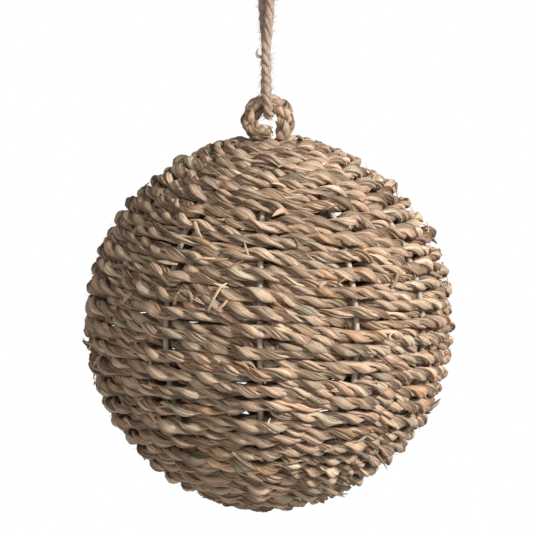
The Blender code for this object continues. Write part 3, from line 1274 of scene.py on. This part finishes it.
@dataclass
class JuteHanger:
    """One jute cord doubled through the ring, with both ends in the knot that it hangs by."""

    crown_z: float
    ring_crown_radius: float
    view: PhotoView
    diameter: float = 0.0037
    clearance: float = 0.0005
    leg_length: float = 0.0451
    leg_gap: float = 0.0003
    knot_size: tuple[float, float, float] = (0.0110, 0.0098, 0.0090)
    knot_gap: float = 0.0003
    leg_x: float = -0.0008
    spread_x: float = 0.0015
    turn_angle: float = math.radians(40)
    ply_pitch: float = 0.0125
    spacing: float = 0.0005
    rings_in_knot: int = 10
    knot_steps: int = 96
    knot_yarn_radius: float = 0.0017
    knot_yarn_share: float = 0.94
    fibres: int = 620
    fibre_root: float = 0.42
    fibre_lean: Span = (0.10, 0.8)
    fibre_bend: float = 0.45
    fibre_reach: Span = (0.0008, 0.0036)
    seed: int = 31
    wisps: tuple[Span, ...] = ((-0.0003, 0.00052), (0.0001, 0.00048), (0.0003, 0.00040))
    wisp_spacing: float = 0.0004
    curl: tuple[Span, ...] = (
        (264.5, 55.0), (261.0, 57.0), (258.2, 56.2), (256.8, 53.4), (257.2, 50.6), (258.0, 49.2),
    )

    def route(self) -> list[tuple[float, float, float]]:
        """The cord's own points: down in front of the crown, under it and up behind.

        Returns:
            The points.
        """
        bend = self.ring_crown_radius + self.clearance + self.diameter / 2
        leg_y = self.diameter / 2 + self.leg_gap / 2
        spread_y = math.sqrt(leg_y ** 2 - self.spread_x ** 2)
        top_z = -self.knot_size[2] - self.knot_gap
        turn_y, turn_z = bend * math.cos(self.turn_angle), bend * math.sin(self.turn_angle)
        x, leg = self.leg_x, self.leg_length
        front = [
            (x + self.spread_x, -spread_y, top_z),
            (x + self.spread_x, -spread_y, top_z - 0.10 * leg),
            (x + 0.6 * self.spread_x, -leg_y, self.crown_z + 0.68 * leg),
            (x, -leg_y, self.crown_z + 0.45 * leg),
            (x + 0.0001, -leg_y - 0.4 * (bend - leg_y), self.crown_z + 0.26 * leg),
            (x + 0.0004, -bend, self.crown_z + 0.06 * leg),
            (x + 0.0007, -turn_y, self.crown_z - turn_z),
        ]
        under = [(x + 0.0008, 0.0, self.crown_z - bend)]
        back = [(2 * x - px if pz > self.crown_z else px, -py, pz) for px, py, pz in reversed(front)]
        return front + under + back

    def build(self, material: bpy.types.Material) -> list[bpy.types.Object]:
        """Make the cord, its knot and its fuzz.

        Args:
            material: the jute's finish.

        Returns:
            The pieces.
        """
        rng = np.random.default_rng(self.seed)
        points = smooth_route(self.route(), self.spacing)
        yarn = Twist(
            3, self.ply_pitch, self.diameter / 2, sides=14, ply_reach=0.47, ply_depth=0.53,
            ply_width=0.58, crease=0.08, lumps=0.16, lump_length=0.003, pitch_spread=0.10, ridges=0.10,
            stray=0.08, hand=Hand.LEFT,
        )
        plain = BladeColours(rng, {Tone.BEIGE: 1.0})
        heart = np.array([0.0, 0.0, -self.knot_size[2] / 2])
        share = np.linspace(1, 0, self.rings_in_knot, endpoint=False)[:, None]
        above = [end + (heart - end) * share for end in (points[0], points[-1])]
        whole = np.vstack([above[0], points, above[1][::-1]])
        first, last = self.rings_in_knot, self.rings_in_knot + len(points)
        stock, ends = MeshStock(), []
        for strand in yarn.lay(Line.carried(whole, (-1.0, 0.0, 0.0)), rng, plain):
            stock.add(strand.cut(slice(first, last)))
            ends += [strand.cut(slice(0, first + 1)), strand.cut(slice(last - 1, None))]
        cord = stock.piece("jute_cord", material, "jute_cord")
        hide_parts("hanger_cord")
        knot = self.knot(material, yarn, plain, rng, ends)
        fuzz = self.fuzz(material, points, rng)
        return [cord, knot, fuzz]

    def knot(
        self,
        material: bpy.types.Material,
        yarn: Twist,
        plain: BladeColours,
        rng: np.random.Generator,
        ends: Sequence[Strand],
    ) -> bpy.types.Object:
        """Tie the knot: one cord crossing itself three times, with the cord's two ends running into it.

        Args:
            material: the jute's finish.
            yarn: the cord's twist.
            plain: the cord's colour.
            rng: the source of unevenness.
            ends: the plies of the cord's two ends.

        Returns:
            The piece.
        """
        turn = np.linspace(0, TURN, self.knot_steps + 1)[:-1]
        tie = np.column_stack([
            np.sin(turn) + 2 * np.sin(2 * turn),
            np.cos(turn) - 2 * np.cos(2 * turn),
            -np.sin(3 * turn),
        ])
        room = np.array(self.knot_size) / 2 - self.knot_yarn_radius
        tie *= room / np.abs(tie).max(axis=0)
        tie = np.vstack([tie, tie[:1]]) + np.array([0.0, 0.0, -self.knot_size[2] / 2])
        stock = MeshStock()
        thick = np.full(len(tie), self.knot_yarn_share)
        for end in ends:
            stock.add(end)
        for strand in yarn.lay(Line.carried(tie, (0.3, 0.2, 1.0)), rng, plain, thick):
            stock.add(strand)
        piece = stock.piece("jute_knot", material, "jute_cord")
        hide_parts("hanger_knot")
        return piece

    def fuzz(
        self, material: bpy.types.Material, points: np.ndarray, rng: np.random.Generator
    ) -> bpy.types.Object:
        """Fine fibres that stand off the cord, and the curled wisp at its left.

        Args:
            material: the jute's finish.
            points: the cord's middle line.
            rng: the source of the fibres' places.

        Returns:
            The piece.
        """
        stock = MeshStock()
        along = unit(np.gradient(points, axis=0))
        for _ in range(self.fibres):
            index = rng.integers(4, len(points) - 4)
            sideways = unit(np.cross(along[index], rng.normal(size=3)))
            start = points[index] + sideways * self.diameter * self.fibre_root
            lean = along[index] * rng.uniform(-1, 1) + sideways * rng.uniform(*self.fibre_lean)
            bend = unit(rng.normal(size=3)) * self.fibre_bend
            reach = rng.uniform(*self.fibre_reach)
            path = [start, start + unit(lean) * reach * 0.5, start + unit(lean + bend) * reach]
            stock.add(hair(smooth_route(path, self.spacing), rng.uniform(*FIBRE_RADIUS), rng))
        curl = [self.view.on_plane(column, row, -self.diameter / 2) for column, row in self.curl]
        for offset, radius in self.wisps:
            stock.add(hair(smooth_route(np.array(curl) + offset, self.wisp_spacing), radius, rng))
        return stock.piece("jute_fuzz", material, "jute_cord")


@dataclass
class LooseEnds:
    """Stray blades, cut ends and thin fibres all round the ball."""

    cover: WovenCover
    root_radius: float = 0.0727
    root_depth: float = 0.0008
    limit_radius: float = 0.0752
    least_rise: float = 0.0006
    arch: float = 0.0003
    pole_share: float = 0.97
    usual_slant: Span = (0.30, 0.35)
    usual_share: float = 0.8
    widest_slant: float = 1.5
    blade_count: int = 230
    blade_reach: Span = (0.004, 0.009)
    blade_width: Span = (0.0008, 0.0020)
    fibre_count: int = 380
    fibre_reach: Span = (0.003, 0.009)
    spacing: float = 0.0008
    blade_spacing: float = 0.0009
    seed: int = 47
    shares: tuple[tuple[Tone, float], ...] = (
        (Tone.TAN, 0.42), (Tone.BEIGE, 0.17), (Tone.PINKISH, 0.17), (Tone.STRAW, 0.01), (Tone.BROWN, 0.23),
    )
    seen: tuple[LooseBlade, ...] = (
        LooseBlade(((227, 283), (221, 287), (214, 299), (208, 312)), 0.0010, Tone.STRAW),
        LooseBlade(((222, 284), (217, 291), (211, 303), (207, 311)), 0.0005, Tone.STRAW),
        LooseBlade(((228, 298), (223, 305), (215, 311)), 0.0015, Tone.TAN),
        LooseBlade(((174, 305), (179, 293), (186, 290)), 0.0016, Tone.TAN),
        LooseBlade(((184, 290), (190, 294), (192, 304)), 0.0015, Tone.BEIGE),
        LooseBlade(((195, 221), (197, 229), (202, 239)), 0.0016, Tone.BEIGE),
        LooseBlade(((345, 217), (348, 223), (351, 230)), 0.0013, Tone.PINKISH),
        LooseBlade(((234, 361), (245, 365), (255, 375)), 0.0014, Tone.RUST),
        LooseBlade(((239, 370), (247, 372), (253, 379)), 0.0012, Tone.BEIGE),
        LooseBlade(((242, 361), (250, 363), (257, 370)), 0.0011, Tone.STRAW),
        LooseBlade(((295, 239), (299, 243), (301, 249)), 0.0012, Tone.PINKISH),
        LooseBlade(((273, 302), (281, 307), (288, 313)), 0.0016, Tone.RUST),
        LooseBlade(((319, 288), (323, 284), (327, 282)), 0.0012, Tone.BEIGE),
        LooseBlade(((392, 341), (390, 336), (394, 332), (398, 336)), 0.0009, Tone.STRAW),
        LooseBlade(((377, 355), (384, 360), (391, 367)), 0.0012, Tone.BROWN),
        LooseBlade(((398, 198), (396, 189), (397, 182)), 0.0013, Tone.BROWN, 0.0034),
        LooseBlade(((430, 408), (438, 404), (446, 401)), 0.0015, Tone.BROWN, 0.0026),
        LooseBlade(((431, 414), (438, 409), (445, 404)), 0.0013, Tone.BROWN, 0.0030),
        LooseBlade(((374, 450), (383, 462), (389, 472)), 0.0008, Tone.STRAW, 0.0034),
        LooseBlade(((320, 484), (332, 492), (345, 498)), 0.0015, Tone.BEIGE, 0.0034),
        LooseBlade(((328, 486), (337, 493), (348, 494)), 0.0011, Tone.BROWN, 0.0030),
        LooseBlade(((287, 143), (293, 137), (299, 136), (303, 140)), 0.0030, Tone.BEIGE, 0.0040),
        LooseBlade(((194, 153), (200, 147), (208, 144)), 0.0030, Tone.TAN, 0.0016),
        LooseBlade(((220, 145), (227, 140), (236, 141)), 0.0032, Tone.BEIGE, 0.0024),
        LooseBlade(((318, 150), (326, 146), (336, 151)), 0.0032, Tone.TAN, 0.0020),
        LooseBlade(((340, 160), (347, 155), (355, 160)), 0.0028, Tone.PINKISH, 0.0018),
        LooseBlade(((372, 182), (379, 176), (386, 181)), 0.0026, Tone.TAN, 0.0016),
        LooseBlade(((232, 452), (246, 463), (260, 471)), 0.0019, Tone.BEIGE),
        LooseBlade(((238, 464), (250, 474), (263, 482)), 0.0018, Tone.STRAW),
    )

    def blade(self, points: np.ndarray, width: float, tone: Tone, rng: np.random.Generator) -> Strand:
        """A pointed blade of the ball, with its own shade."""
        colour = np.array(tone.value) * rng.uniform(0.8, 1.15)
        return pointed_blade(points, points - self.cover.centre, width, colour, rng)

    def strewn(self, rng: np.random.Generator, reaches: Span) -> np.ndarray:
        """A short path at random on the ball, mostly along the rope, from inside it to just above it.

        Args:
            rng: the source of the path.
            reaches: its shortest and longest length.

        Returns:
            Three points.
        """
        polar = math.acos(rng.uniform(-self.pole_share, self.pole_share))
        azimuth = rng.uniform(0, TURN)
        outward = self.cover.direction(np.array(polar), np.array(azimuth))
        east = np.array([-math.sin(azimuth), math.cos(azimuth), 0.0])
        down = np.cross(outward, east) * -1
        if rng.random() < self.usual_share:
            slant = rng.normal(*self.usual_slant)
        else:
            slant = rng.uniform(-self.widest_slant, self.widest_slant)
        way = (math.cos(slant) * east + math.sin(slant) * down) * rng.choice([-1.0, 1.0])
        reach = rng.uniform(*reaches)
        bend = np.cross(outward, way) * rng.uniform(-0.3, 0.3) * reach
        start = outward * self.root_radius
        high = self.root_radius + rng.uniform(self.least_rise, self.limit_radius - self.root_radius)
        path = [start, start + way * reach * 0.5 + bend * 0.4, start + way * reach + bend]
        levels = [self.root_radius - self.root_depth, (self.root_radius + high) / 2 + 0.0002, high]
        return self.cover.centre + np.array([unit(p) * level for p, level in zip(path, levels)])

    def build(self, material: bpy.types.Material) -> bpy.types.Object:
        """Make the loose blades and fibres as one piece.

        Args:
            material: the rope's finish.

        Returns:
            The piece.
        """
        rng = np.random.default_rng(self.seed)
        stock = MeshStock()
        for seen in self.seen:
            middle = self.root_radius + seen.rise / 2
            levels = np.linspace(self.root_radius, self.root_radius + seen.rise, len(seen.path))
            levels[1:-1] = np.maximum(levels[1:-1], middle + self.arch)
            path = [self.cover.view.on_ball(*spot, level) for spot, level in zip(seen.path, levels)]
            stock.add(self.blade(smooth_route(path, self.spacing), seen.width, seen.tone, rng))
        tones, shares = zip(*self.shares)
        for _ in range(self.blade_count):
            tone = tones[rng.choice(len(tones), p=shares)]
            path = smooth_route(self.strewn(rng, self.blade_reach), self.blade_spacing)
            stock.add(self.blade(path, rng.uniform(*self.blade_width), tone, rng))
        for _ in range(self.fibre_count):
            path = smooth_route(self.strewn(rng, self.fibre_reach), self.spacing)
            stock.add(hair(path, rng.uniform(*FIBRE_RADIUS), rng))
        piece = stock.piece("loose_ends", material, "seagrass_rope")
        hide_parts("woven_rope")
        return piece


def pointed_blade(
    points: np.ndarray, outward: np.ndarray, width: float, colour: np.ndarray, rng: np.random.Generator
) -> Strand:
    """A thin blade that turns a little on its way and ends in a point.

    Args:
        points: its middle line.
        outward: the direction that its flat side faces, one or one for each point.
        width: its width where it is widest.
        colour: its colour.
        rng: the source of its turn and thickness.

    Returns:
        The blade.
    """
    line = Line(points, unit(np.broadcast_to(outward, points.shape)))
    share = np.linspace(0, 1, len(points))
    turn = (rng.uniform(-0.7, 0.7) + rng.uniform(-0.9, 0.9) * share)[:, None]
    facing = np.cos(turn) * line.outward + np.sin(turn) * line.side
    half_width = width * (0.25 + 0.75 * np.sin(math.pi * np.clip(share * 0.85 + 0.15, 0, 1))) / 2
    swell = 1 + rng.uniform(-0.12, 0.12, (1, 8)) * np.ones((len(points), 1))
    return Strand(
        line.points, facing, np.cross(line.along, facing), half_width * rng.uniform(0.25, 0.45), half_width,
        swell, np.tile(colour, (len(points), 1)), line.travelled + rng.uniform(0, GRAIN_START), 0.3,
    )


def rod(line: Line, radius: np.ndarray, sides: int, colour: Colour, rng: np.random.Generator) -> Strand:
    """A wire or fibre along a line, the same all round, with a start of its own in the grain."""
    return Strand(
        line.points, line.outward, line.side, radius, radius, np.ones((len(radius), sides)),
        np.tile(colour, (len(radius), 1)), line.travelled + rng.uniform(0, GRAIN_START),
    )


def hair(points: np.ndarray, radius: float, rng: np.random.Generator) -> Strand:
    """A three-sided fibre that thins towards its tip."""
    line = Line.carried(points, unit(np.cross(points[-1] - points[0], (0.31, 0.52, 0.8))))
    return rod(line, radius * np.linspace(1.0, 0.35, len(points)), 3, Tone.BEIGE.value, rng)


@dataclass(frozen=True)
class StudioLight:
    """One soft box: where it stands from the ball, how wide and how strong it is."""

    name: str
    direction: tuple[float, float, float]
    distance: float
    size: float
    power: float
    colour: Colour = (1.0, 1.0, 1.0)


@dataclass
class Studio:
    """Plain floor, white surroundings and soft light from the upper right and front."""

    centre: np.ndarray
    floor_drop: float = 0.50
    floor_radius: float = 0.55
    ambient: float = 0.33
    lights: tuple[StudioLight, ...] = (
        StudioLight("key", (0.84, -0.74, 0.54), 1.1, 0.24, 14.8),
        StudioLight("front_fill", (-0.1, -1.0, 0.25), 1.4, 0.9, 3.2, (1.0, 0.98, 0.95)),
    )

    def build(self) -> None:
        """Set the surroundings, the floor and the lights."""
        scene = bpy.context.scene
        scene.view_settings.view_transform = "Standard"
        self.surroundings(scene)
        bpy.ops.mesh.primitive_circle_add(
            vertices=96, radius=self.floor_radius, fill_type="NGON",
            location=(0.0, 0.0, self.centre[2] - self.floor_drop),
        )
        floor = bpy.context.active_object
        floor.name = "studio_floor"
        floor.data.materials.append(PaperFinish().material())
        floor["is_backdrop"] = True
        for light in self.lights:
            self.hang(light)

    def surroundings(self, scene: bpy.types.Scene) -> None:
        """White to the camera, and a weaker even light on the object.

        Args:
            scene: the scene.
        """
        world = bpy.data.worlds.new("white_studio")
        world.use_nodes = True
        scene.world = world
        tree = world.node_tree
        seen = tree.nodes.new("ShaderNodeLightPath")
        level = tree.nodes.new("ShaderNodeMapRange")
        level.inputs["To Min"].default_value = self.ambient
        level.inputs["To Max"].default_value = 1.0
        tree.links.new(seen.outputs["Is Camera Ray"], level.inputs["Value"])
        background = tree.nodes["Background"]
        background.inputs["Color"].default_value = (1.0, 1.0, 1.0, 1.0)
        tree.links.new(level.outputs[0], background.inputs["Strength"])

    def hang(self, light: StudioLight) -> None:
        """Hang one soft box, facing the ball.

        Args:
            light: the soft box.
        """
        data = bpy.data.lights.new(light.name, "AREA")
        data.shape, data.size = "DISK", light.size
        data.energy, data.color = light.power, light.colour
        placed = bpy.data.objects.new(light.name, data)
        aim = Vector(light.direction).normalized()
        placed.location = Vector(self.centre) + aim * light.distance
        placed.rotation_euler = (-aim).to_track_quat("-Z", "Y").to_euler()
        bpy.context.scene.collection.objects.link(placed)


def main() -> None:
    """Build the camera, the hanger, the ball and the studio, and note the sizes."""
    logging.basicConfig(level=logging.INFO, format="%(message)s")
    low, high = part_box("wire_frame")
    centre = np.array([0.0, 0.0, (low.z + high.z) / 2])
    view = PhotoView(centre)
    view.make()
    cover = WovenCover(centre, view)
    ring = RopeRing(float(centre[2]) + cover.ball_radius, view)
    crown_radius = ring.rope_diameter / 2 * ring.crown_thickness
    hanger = JuteHanger(ring.top_z + ring.height - crown_radius, crown_radius, view)
    hanger.build(JuteFinish().material())
    seagrass = SeagrassFinish().material()
    cover.build(seagrass)
    ring.build(seagrass)
    LooseEnds(cover).build(seagrass)
    WireFrame(cover).build(PaintedWireFinish().material())
    Studio(centre).build()
    low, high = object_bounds()


if __name__ == "__main__":
    main()
